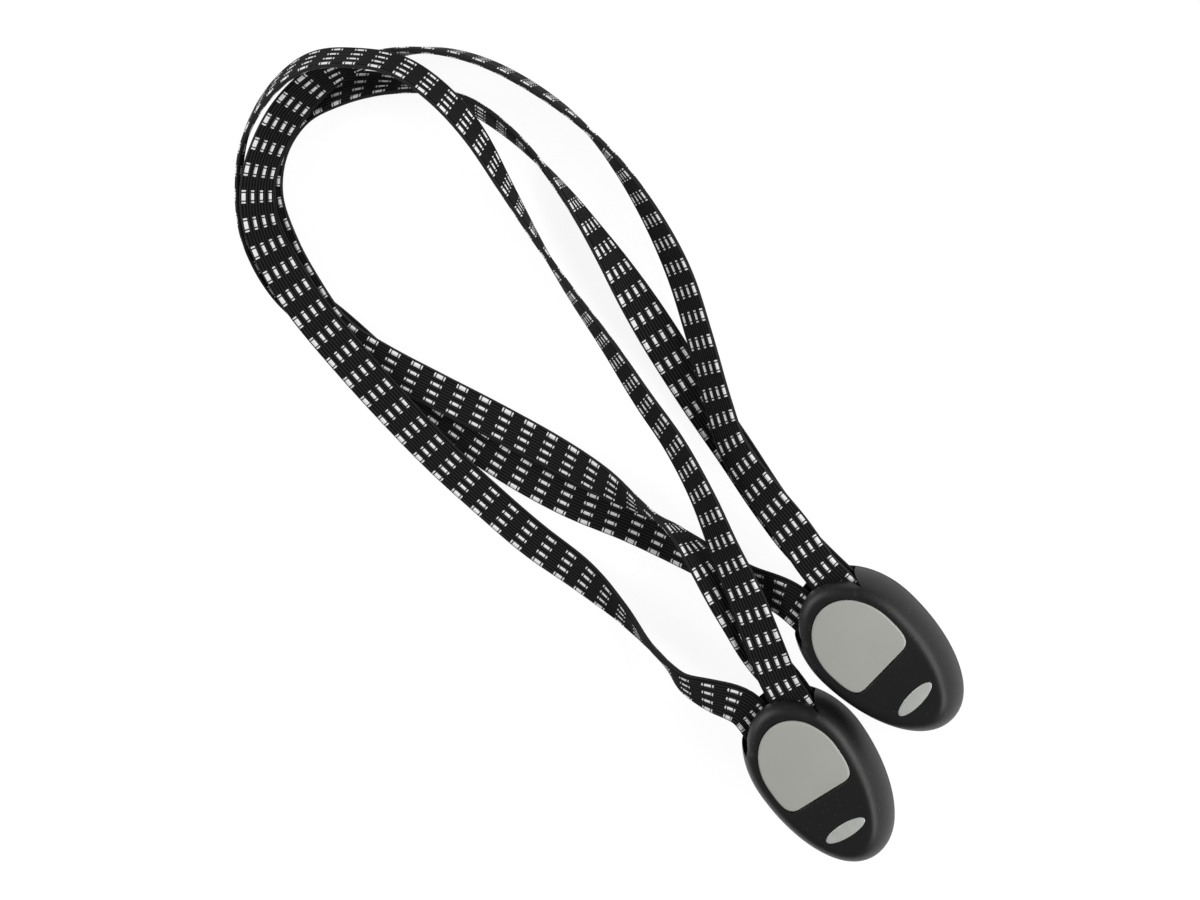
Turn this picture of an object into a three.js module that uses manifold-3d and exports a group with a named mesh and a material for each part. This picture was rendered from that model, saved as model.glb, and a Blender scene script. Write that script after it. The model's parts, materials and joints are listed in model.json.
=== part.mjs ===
// Luggage bungee: three flat elastic straps between two moulded hook ends, laid loose on a table.
// Millimetres, +Z up. X runs from the hook ends towards the strap loop, the table is Z = 0,
// and the origin lies midway between the two hook ends.
import * as THREE from "three";
import { mergeVertices } from "three/addons/utils/BufferGeometryUtils.js";
import Module from "manifold-3d";

const wasm = await Module();
wasm.setup();

// Fits
const CLEARANCE = 0.3;
const CUT = 1;
const ROUND_SEGMENTS = 20;

// Strap webbing
const STRAP_WIDTH = 15;
const STRAP_THICKNESS = 2.4;
const STRAP_EDGE = 0.7;
const STRAP_STEPS = 80;

// Crimps, and the slots that the straps leave by
const CRIMP_LENGTH = 8;
const CRIMP_METAL = 0.6;
const CRIMP_GAP = 0.8;
const CRIMP_END_X = 6;
const STRAP_TAIL = 1;
const CRIMP_HALF_WIDTH = STRAP_WIDTH / 2 + CLEARANCE + CRIMP_METAL;
const CRIMP_HEIGHT = STRAP_THICKNESS + 2 * CLEARANCE + 2 * CRIMP_METAL;
const COLUMN = CRIMP_HALF_WIDTH + CRIMP_GAP / 2;
const LOWER_LEVEL = 2 * CLEARANCE + CRIMP_HEIGHT / 2 - CLEARANCE / 2;
const UPPER_LEVEL = LOWER_LEVEL + CRIMP_HEIGHT + 2 * CLEARANCE;
const MIDDLE_LEVEL = (LOWER_LEVEL + UPPER_LEVEL) / 2;

// Top cover
const COVER_HEIGHT = 15;
const SHOULDER = 7.2;
const SHOULDER_STEPS = 6;
const WALL = 2;
const LIP_SETBACK = 3.5;
const LIP_ROUND = 5;
const MOUTH_MARGIN = 0.6;
const MOUTH_HALF_WIDTH = COLUMN + STRAP_WIDTH / 2 + MOUTH_MARGIN;
const MOUTH_TOP = UPPER_LEVEL + STRAP_THICKNESS / 2 + MOUTH_MARGIN;

// Housing outline, from its widest line
const MOUTH_REACH = 30;
const TIP_REACH = 44;
const MOUTH_SIDE = 6.6;
const HALF_WIDTH = MOUTH_HALF_WIDTH + MOUTH_SIDE;
const OUTLINE_POINTS = 48;

// Hook base
const BASE_DEPTH = 6;
const HOOK_WIDTH = 14;
const HOOK_SEAT_X = -26;
const HOOK_SHANK = 8;
const HOOK_END_X = -2;
const HOOK_ARM = 4.5;
const HOOK_LIP = 2;
const THROAT = 13;
const HOOK_FILLET = 3;
const HOOK_ROUND = 6;
const HOOK_EDGE = 1;
const HOOK_ROOT = 2;
const HOOK_TIP_SLANT = 1;

// Grip pad and oval inlay
const PAD_STRAIGHT_X = -12.3;
const PAD_APEX_X = 19.3;
const PAD_HALF_WIDTH = 15.9;
const PAD_STRAIGHT_HALF = 10;
const PAD_CORNER = 1;
const PAD_SEAT = 1.3;
const PAD_PROUD = 0.5;
const PAD_BEVEL = 0.5;
const OVAL_X = -28.1;
const OVAL_HALF_LENGTH = 8.8;
const OVAL_HALF_WIDTH = 2.7;
const OVAL_SEAT = 0.9;
const OVAL_PROUD = 0.2;

// Comb wall and screws
const COMB_THICKNESS = 2.5;
const COMB_SIDE = 0.5;
const COMB_ROOF = 1;
const COMB_HALF_WIDTH = COLUMN + STRAP_WIDTH / 2 + CLEARANCE + COMB_SIDE;
const COMB_TOP = UPPER_LEVEL + STRAP_THICKNESS / 2 + CLEARANCE + COMB_ROOF;
const SCREW_X = -12;
const SCREW_Y = 13;
const SCREW_RADIUS = 1.5;
const SCREW_LENGTH = 13;
const HEAD_RADIUS = 2.8;
const HEAD_HEIGHT = 1.8;
const HEAD_SINK = 0.2;
const POST_WALL = 1.6;

// Where the two ends lie on the table
const HOOK_DROP = BASE_DEPTH + THROAT + HOOK_ARM;
const SIDE_GAP = 0.5;
const ENDS = {
  front: { x: -4.1, y: HALF_WIDTH + SIDE_GAP, yaw: -6.5 },
  rear: { x: 17.9, y: -HALF_WIDTH - SIDE_GAP, yaw: 6.5 },
};

// Strap lays: x, y, height of the centreline, and the roll of the webbing in degrees.
// Roll 0 lies flat with the first edge inside the loop, and 90 stands on edge.
const OUTER_LAY = [
  [38, 7, 31.5, 0],
  [57, 0, 31, -10],
  [77, -5.5, 28.5, -26],
  [96, -11, 25.5, -36],
  [118, -14, 19, -40],
  [138, -14.5, 14, -44],
  [163, -17, 11, -54],
  [186, -19, 10, -64],
  [207, -22, 10, -74],
  [231, -28, 14, -88],
  [254, -35, 22, -102],
  [273, -36.5, 27.3, -108],
  [291, -32, 28.6, -108],
  [304.5, -20.5, 27.5, -108],
  [315.2, -5, 23.6, -110],
  [318, 16.5, 16.6, -108],
  [312.4, 39, 11.4, -106],
  [300.6, 54.6, 9.2, -105],
  [286, 65, 8.8, -98],
  [269, 68.2, 8.4, -72],
  [252, 67.2, 5.4, -30],
  [238, 64.8, 3.4, -13],
  [221, 62.5, 2.4, -6],
  [199, 60, 1.8, 0],
  [178, 55, 1.8, 0],
  [153, 48, 1.8, 0],
  [128, 38, 1.8, 0],
  [106, 26, 1.8, 0],
  [88, 17, 3.2, 2],
  [75, 9.5, 9, 10],
  [61, 0, 17, 12],
];
const MIDDLE_LAY = [
  [66, -30, 27, -3],
  [86, -29, 21.5, -12],
  [104, -30, 16.5, -24],
  [120, -36, 13, -32],
  [142, -46, 10.5, -34],
  [165, -55.5, 8, -36],
  [187, -61.5, 7.6, -46],
  [209, -65, 8.4, -60],
  [229, -65, 8.6, -74],
  [249, -61, 8.5, -82],
  [270, -53, 8.5, -84],
  [285, -43, 8.5, -84],
  [295, -32, 8.8, -80],
  [302.6, -18, 10.6, -68],
  [308.2, -4, 14.8, -45],
  [308.2, 15, 15.6, -35],
  [303.6, 31.4, 15.8, -40],
  [295.8, 45, 16.6, -45],
  [283, 54.5, 18.5, -40],
  [266, 59, 20, -24],
  [248, 61.5, 20, -16],
  [225, 63, 17.5, -12],
  [199, 64.5, 12.5, -6],
  [173, 65, 7.5, 0],
  [148, 63, 4.5, 3],
  [125, 60, 2.6, 4],
  [103, 54, 4, 16],
  [83, 50, 8, 44],
  [68, 48, 13, 64],
  [58, 46, 18, 68],
  [47, 44, 23, 44],
  [38, 37.6, 26.6, 18],
];
const INNER_LAY = [
  [62, -27, 21.5, 2],
  [81, -26, 14, 4],
  [102, -27, 8.5, 8],
  [125, -28.5, 5, 14],
  [148, -32, 5.2, 22],
  [169, -36, 7, 46],
  [192, -40, 8.2, 74],
  [218, -42.5, 8.2, 98],
  [244, -41.5, 7.8, 116],
  [265, -36, 7.6, 120],
  [280, -27, 8.2, 96],
  [293, -14.5, 8.2, 64],
  [302.4, 0, 6, 36],
  [307.4, 16.5, 4.8, 25],
  [303.5, 34, 4.8, 26],
  [291.6, 48.4, 6, 25],
  [274, 55.6, 9.6, 19],
  [257, 59.2, 12.4, 12],
  [234, 62, 11.6, 9],
  [215, 57, 9.6, 8],
  [194, 49, 7.8, 6],
  [169, 38.5, 7, 6],
  [144, 28, 8, 12],
  [124, 20, 10.5, 28],
  [109, 14.5, 13.5, 56],
  [94, 8.5, 17.4, 84],
  [77, 6.8, 22.4, 118],
  [56, 8.4, 25.8, 162],
  [38, 12, 25.7, 180],
];

const PLASTIC = { color: 0x1d1d1f, roughness: 0.42, metalness: 0 };
const PAD_GREY = { color: 0xa5a79e, roughness: 0.7, metalness: 0 };
const OVAL_GREY = { color: 0xc6c9c4, roughness: 0.25, metalness: 0 };
const STEEL = { color: 0xb4b6b8, roughness: 0.35, metalness: 1 };
const WEBBING = { color: 0x2a2a2c, roughness: 0.85, metalness: 0 };

// Turns a closed three.js geometry into a solid for joining and cutting.
function solid(geometry) {
  const bare = geometry.clone();
  bare.deleteAttribute("normal");
  bare.deleteAttribute("uv");
  const merged = mergeVertices(bare, 1e-4);
  const vertProperties = new Float32Array(merged.attributes.position.array);
  const triVerts = new Uint32Array(merged.index.array);
  return new wasm.Manifold(new wasm.Mesh({ numProp: 3, vertProperties, triVerts }));
}

// Turns a solid back into a geometry.
function geometryOf(body) {
  const mesh = body.getMesh();
  const geometry = new THREE.BufferGeometry();
  geometry.setAttribute("position", new THREE.BufferAttribute(mesh.vertProperties, 3));
  geometry.setIndex(new THREE.BufferAttribute(mesh.triVerts, 1));
  return geometry;
}

// A point of the egg outline, drawn in from its full size by an inset.
function eggPoint(angle, inset) {
  const reach = Math.cos(angle) > 0 ? MOUTH_REACH : TIP_REACH;
  const x = (reach - inset) * Math.cos(angle);
  const y = (HALF_WIDTH - inset) * Math.sin(angle);
  return [x, y];
}

// A closed loft through egg outlines, each given as its inset and height, from the bottom up.
function eggLoft(levels) {
  const position = [];
  const index = [];
  for (const [inset, z] of levels) {
    for (let i = 0; i < OUTLINE_POINTS; i++) {
      const angle = (2 * Math.PI * i) / OUTLINE_POINTS;
      position.push(...eggPoint(angle, inset), z);
    }
  }
  const bottom = position.length / 3;
  position.push(0, 0, levels[0][1]);
  position.push(0, 0, levels[levels.length - 1][1]);
  const last = (levels.length - 1) * OUTLINE_POINTS;
  for (let i = 0; i < OUTLINE_POINTS; i++) {
    const next = (i + 1) % OUTLINE_POINTS;
    index.push(bottom, next, i);
    index.push(bottom + 1, last + i, last + next);
    for (let k = 0; k < last; k += OUTLINE_POINTS) {
      index.push(k + i, k + next, k + OUTLINE_POINTS + next);
      index.push(k + i, k + OUTLINE_POINTS + next, k + OUTLINE_POINTS + i);
    }
  }
  const geometry = new THREE.BufferGeometry();
  geometry.setAttribute("position", new THREE.Float32BufferAttribute(position, 3));
  geometry.setIndex(index);
  return geometry;
}

// Levels of a rounded shoulder, from its steep foot to the flat top.
function shoulderLevels(inset, run, bottom, top) {
  const levels = [];
  for (let i = 0; i <= SHOULDER_STEPS; i++) {
    const turn = (i / SHOULDER_STEPS) * (Math.PI / 2);
    const drawn = inset + run * (1 - Math.cos(turn));
    levels.push([drawn, bottom + (top - bottom) * Math.sin(turn)]);
  }
  return levels;
}

// A box given by its two corners.
function box(low, high) {
  const size = high.map((value, i) => value - low[i]);
  const geometry = new THREE.BoxGeometry(...size);
  return geometry.translate(...high.map((value, i) => (value + low[i]) / 2));
}

// A round bar along Z, given by its centre, radius and two heights.
function bar(x, y, radius, low, high) {
  const geometry = new THREE.CylinderGeometry(radius, radius, high - low, ROUND_SEGMENTS);
  return geometry.rotateX(Math.PI / 2).translate(x, y, (low + high) / 2);
}

// Extrudes a shape of the XY plane between two heights.
function prism(shape, low, high, bevel = 0) {
  const geometry = new THREE.ExtrudeGeometry(shape, {
    depth: high - low - bevel,
    bevelEnabled: bevel > 0,
    bevelThickness: bevel,
    bevelSize: bevel,
    bevelOffset: -bevel,
    bevelSegments: 2,
    curveSegments: 10,
  });
  return geometry.translate(0, 0, low);
}

// The grip pad's outline: a round mouth side, drawn-in corners and one straight side.
function padShape(margin) {
  const side = PAD_HALF_WIDTH + margin;
  const apex = PAD_APEX_X + margin;
  const straight = PAD_STRAIGHT_X - margin;
  const half = PAD_STRAIGHT_HALF + margin;
  const shape = new THREE.Shape();
  shape.moveTo(0, -side);
  shape.absellipse(0, 0, apex, side, -Math.PI / 2, Math.PI / 2, false, 0);
  shape.bezierCurveTo(straight * 0.75, side, straight, side - PAD_CORNER, straight, half);
  shape.lineTo(straight, -half);
  shape.bezierCurveTo(straight, PAD_CORNER - side, straight * 0.75, -side, 0, -side);
  return shape;
}

// The oval inlay's outline.
function ovalShape(margin) {
  const shape = new THREE.Shape();
  const across = OVAL_HALF_WIDTH + margin;
  shape.absellipse(OVAL_X, 0, across, OVAL_HALF_LENGTH + margin, 0, 2 * Math.PI, false, 0);
  return shape;
}

// The hook's side profile in the XZ plane: shank, arm and lip round the throat.
function hookShape() {
  const floor = -HOOK_DROP;
  const armTop = floor + HOOK_ARM;
  const ceiling = -BASE_DEPTH;
  const heel = HOOK_SEAT_X - HOOK_SHANK;
  const root = ceiling + HOOK_ROOT;
  const shape = new THREE.Shape();
  shape.moveTo(heel, root);
  shape.lineTo(heel, floor + HOOK_ROUND);
  shape.quadraticCurveTo(heel, floor, heel + HOOK_ROUND, floor);
  shape.lineTo(HOOK_END_X - HOOK_FILLET, floor);
  shape.quadraticCurveTo(HOOK_END_X, floor, HOOK_END_X, armTop);
  shape.lineTo(HOOK_END_X - HOOK_TIP_SLANT, armTop + HOOK_LIP);
  shape.lineTo(HOOK_END_X - HOOK_FILLET, armTop + HOOK_LIP);
  shape.lineTo(HOOK_END_X - 2 * HOOK_FILLET, armTop);
  shape.lineTo(HOOK_SEAT_X + HOOK_FILLET, armTop);
  shape.quadraticCurveTo(HOOK_SEAT_X, armTop, HOOK_SEAT_X, armTop + HOOK_FILLET);
  shape.lineTo(HOOK_SEAT_X, ceiling - HOOK_FILLET);
  shape.quadraticCurveTo(HOOK_SEAT_X, ceiling, HOOK_SEAT_X + HOOK_FILLET, ceiling);
  shape.lineTo(HOOK_SEAT_X + HOOK_FILLET, root);
  return shape;
}

// The slots through which the straps leave a housing: sideways place and height above the parting line.
const SLOTS = {
  lower: { y: -COLUMN, z: LOWER_LEVEL },
  upper: { y: -COLUMN, z: UPPER_LEVEL },
  single: { y: COLUMN, z: MIDDLE_LEVEL },
};

// Top cover: a domed shell with the strap mouth, the two seats and the screw posts.
function topCover() {
  const parting = CLEARANCE / 2;
  const outer = solid(eggLoft(shoulderLevels(0, SHOULDER, parting, COVER_HEIGHT)));
  const hollowLevels = shoulderLevels(WALL, SHOULDER, parting, COVER_HEIGHT - WALL);
  const hollow = solid(eggLoft([[WALL, parting - CUT], ...hollowLevels]));
  const front = MOUTH_REACH + CUT;
  const slot = solid(box([0, -MOUTH_HALF_WIDTH, -CUT], [front, MOUTH_HALF_WIDTH, MOUTH_TOP]));
  const window = box([CUT, -MOUTH_HALF_WIDTH, -CUT], [front, MOUTH_HALF_WIDTH, COVER_HEIGHT]);
  const lipLevels = shoulderLevels(LIP_SETBACK, LIP_ROUND, MOUTH_TOP, COVER_HEIGHT);
  const kept = solid(eggLoft([[LIP_SETBACK, -2 * CUT], ...lipLevels]));
  let body = outer.subtract(hollow).subtract(slot).subtract(solid(window).subtract(kept));
  const roof = COVER_HEIGHT - WALL + CUT / 2;
  const hole = SCREW_RADIUS + CLEARANCE;
  for (const y of [-SCREW_Y, SCREW_Y]) {
    const post = solid(bar(SCREW_X, y, hole + POST_WALL, parting, roof)).intersect(outer);
    const pilot = solid(bar(SCREW_X, y, hole, parting - CUT, SCREW_LENGTH - BASE_DEPTH + 2 * CUT));
    body = body.add(post).subtract(pilot);
  }
  const top = COVER_HEIGHT + CUT;
  body = body.subtract(solid(prism(padShape(CLEARANCE), COVER_HEIGHT - PAD_SEAT, top)));
  body = body.subtract(solid(prism(ovalShape(CLEARANCE), COVER_HEIGHT - OVAL_SEAT, top)));
  return geometryOf(body);
}

// Hook base: the rounded lower shell with the hook and the comb wall that stops the crimps.
function hookBase() {
  const parting = -CLEARANCE / 2;
  const shell = eggLoft([
    [BASE_DEPTH, -BASE_DEPTH],
    [BASE_DEPTH * 0.4, -BASE_DEPTH * 0.75],
    [BASE_DEPTH * 0.1, -BASE_DEPTH * 0.4],
    [0, parting],
  ]);
  const hook = new THREE.ExtrudeGeometry(hookShape(), {
    depth: HOOK_WIDTH - 2 * HOOK_EDGE,
    bevelThickness: HOOK_EDGE,
    bevelSize: HOOK_EDGE,
    bevelOffset: -HOOK_EDGE,
    bevelSegments: 2,
    curveSegments: 6,
  });
  hook.rotateX(Math.PI / 2).translate(0, HOOK_WIDTH / 2 - HOOK_EDGE, 0);
  const combFrom = CRIMP_END_X + CLEARANCE;
  const combTo = combFrom + COMB_THICKNESS;
  const comb = box([combFrom, -COMB_HALF_WIDTH, parting - CUT], [combTo, COMB_HALF_WIDTH, COMB_TOP]);
  let body = solid(shell).add(solid(hook)).add(solid(comb));
  const halfWidth = STRAP_WIDTH / 2 + CLEARANCE;
  const halfHeight = STRAP_THICKNESS / 2 + CLEARANCE;
  for (const { y, z } of Object.values(SLOTS)) {
    const low = [combFrom - CUT, y - halfWidth, z - halfHeight];
    body = body.subtract(solid(box(low, [combTo + CUT, y + halfWidth, z + halfHeight])));
  }
  const hole = SCREW_RADIUS + CLEARANCE;
  const sink = -BASE_DEPTH + HEAD_SINK + HEAD_HEIGHT + CLEARANCE;
  for (const y of [-SCREW_Y, SCREW_Y]) {
    body = body.subtract(solid(bar(SCREW_X, y, hole, -BASE_DEPTH - CUT, CUT)));
    body = body.subtract(solid(bar(SCREW_X, y, HEAD_RADIUS + CLEARANCE, -BASE_DEPTH - CUT, sink)));
  }
  return geometryOf(body);
}

// Grip pad, standing a little proud of the cover with a rounded edge.
function gripPad() {
  const low = COVER_HEIGHT - PAD_SEAT + CLEARANCE;
  return prism(padShape(0), low + PAD_BEVEL, COVER_HEIGHT + PAD_PROUD, PAD_BEVEL);
}

// Oval inlay near the tip.
function ovalInlay() {
  return prism(ovalShape(0), COVER_HEIGHT - OVAL_SEAT + CLEARANCE, COVER_HEIGHT + OVAL_PROUD);
}

// Screw with a pan head, standing head down, from its head's lower face.
function screw() {
  const profile = [
    [0, 0],
    [HEAD_RADIUS * 0.8, 0],
    [HEAD_RADIUS, HEAD_HEIGHT * 0.4],
    [HEAD_RADIUS, HEAD_HEIGHT],
    [SCREW_RADIUS, HEAD_HEIGHT],
    [SCREW_RADIUS, SCREW_LENGTH - SCREW_RADIUS],
    [0, SCREW_LENGTH],
  ];
  const points = profile.map(([radius, z]) => new THREE.Vector2(radius, z));
  return new THREE.LatheGeometry(points, ROUND_SEGMENTS).rotateX(Math.PI / 2);
}

// Crimp: a folded metal clip round the end of a strap, as a short flat tube along X.
function crimp() {
  const halfHeight = CRIMP_HEIGHT / 2;
  const outer = box([-CRIMP_LENGTH, -CRIMP_HALF_WIDTH, -halfHeight], [0, CRIMP_HALF_WIDTH, halfHeight]);
  const openWidth = CRIMP_HALF_WIDTH - CRIMP_METAL;
  const openHeight = halfHeight - CRIMP_METAL;
  const inner = box([-CRIMP_LENGTH - CUT, -openWidth, -openHeight], [CUT, openWidth, openHeight]);
  return geometryOf(solid(outer).subtract(solid(inner)));
}

// A strap's centreline with the roll of the webbing along it.
class StrapLay extends THREE.CatmullRomCurve3 {
  constructor(stations) {
    super(stations.map(([x, y, z]) => new THREE.Vector3(x, y, z)), false, "centripetal");
    this.rolls = stations.map((station) => THREE.MathUtils.degToRad(station[3]));
  }

  // The roll at a share of the length, between the stations on either side of it.
  rollAt(share) {
    const place = this.getUtoTmapping(share) * (this.rolls.length - 1);
    const before = Math.min(Math.floor(place), this.rolls.length - 2);
    return THREE.MathUtils.lerp(this.rolls[before], this.rolls[before + 1], place - before);
  }

  // Frames whose normal runs across the webbing and whose binormal runs through it.
  computeFrenetFrames(segments) {
    const tangents = [];
    const normals = [];
    const binormals = [];
    const up = new THREE.Vector3(0, 0, 1);
    for (let i = 0; i <= segments; i++) {
      const tangent = this.getTangentAt(i / segments);
      const side = up.clone().cross(tangent).normalize();
      const across = side.applyAxisAngle(tangent, this.rollAt(i / segments));
      tangents.push(tangent);
      normals.push(across);
      binormals.push(tangent.clone().cross(across));
    }
    return { tangents, normals, binormals };
  }
}

// The webbing's cross-section: a flat bar with cut corners.
function webbingSection() {
  const half = STRAP_WIDTH / 2;
  const face = STRAP_THICKNESS / 2;
  const shape = new THREE.Shape();
  shape.moveTo(half - STRAP_EDGE, -face);
  shape.lineTo(half, STRAP_EDGE - face);
  shape.lineTo(half, face - STRAP_EDGE);
  shape.lineTo(half - STRAP_EDGE, face);
  shape.lineTo(STRAP_EDGE - half, face);
  shape.lineTo(-half, face - STRAP_EDGE);
  shape.lineTo(-half, STRAP_EDGE - face);
  shape.lineTo(STRAP_EDGE - half, -face);
  return shape;
}

// Three stations that run straight through a slot of one end, from the strap's tail to the mouth.
function slotStations(endName, slotName, roll) {
  const end = ENDS[endName];
  const slot = SLOTS[slotName];
  const yaw = THREE.MathUtils.degToRad(end.yaw);
  const tail = CRIMP_END_X - CRIMP_LENGTH - STRAP_TAIL;
  const mouth = MOUTH_REACH - CUT;
  return [tail, (tail + mouth) / 2, mouth].map((x) => {
    const place = new THREE.Vector2(x, slot.y).rotateAround(new THREE.Vector2(), yaw);
    return [end.x + place.x, end.y + place.y, HOOK_DROP + slot.z, roll];
  });
}

// A strap from a slot of one end, along its lay, into a slot of the other end.
function strap(from, lay, to) {
  const stations = [...slotStations(...from), ...lay, ...slotStations(...to).reverse()];
  const path = new StrapLay(stations);
  return new THREE.ExtrudeGeometry(webbingSection(), { steps: STRAP_STEPS, extrudePath: path });
}

// Adds a named mesh with its finish to a group.
function put(group, name, geometry, finish) {
  const mesh = new THREE.Mesh(geometry, new THREE.MeshStandardMaterial(finish));
  mesh.name = name;
  group.add(mesh);
  return mesh;
}

// One hook end, standing on its hook, with all that it holds.
function hookEnd(endName) {
  const end = ENDS[endName];
  const group = new THREE.Group();
  group.position.set(end.x, end.y, HOOK_DROP);
  group.rotation.z = THREE.MathUtils.degToRad(end.yaw);
  put(group, `${endName}_top_cover`, topCover(), PLASTIC);
  put(group, `${endName}_hook_base`, hookBase(), PLASTIC);
  put(group, `${endName}_grip_pad`, gripPad(), PAD_GREY);
  put(group, `${endName}_oval_inlay`, ovalInlay(), OVAL_GREY);
  [-SCREW_Y, SCREW_Y].forEach((y, i) => {
    const piece = put(group, `${endName}_screw_${i + 1}`, screw(), STEEL);
    piece.position.set(SCREW_X, y, -BASE_DEPTH + HEAD_SINK);
  });
  for (const [slotName, { y, z }] of Object.entries(SLOTS)) {
    const piece = put(group, `${endName}_${slotName}_crimp`, crimp(), STEEL);
    piece.position.set(CRIMP_END_X, y, z);
  }
  return group;
}

const bungee = new THREE.Group();
bungee.add(hookEnd("front"), hookEnd("rear"));
put(bungee, "outer_strap", strap(["front", "upper", 0], OUTER_LAY, ["rear", "single", 0]), WEBBING);
put(bungee, "middle_strap", strap(["rear", "upper", 0], MIDDLE_LAY, ["front", "single", 0]), WEBBING);
put(bungee, "inner_strap", strap(["rear", "lower", 0], INNER_LAY, ["front", "lower", 180]), WEBBING);

export default bungee;
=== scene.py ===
"""Luggage bungee: three flat elastic straps laid in a loose loop between two moulded hook ends."""

from __future__ import annotations

import json
import logging
import math
from dataclasses import dataclass, field
from enum import Enum
from math import cos, pi, radians, sin
from typing import Any, Iterable, Sequence, Union

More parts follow.
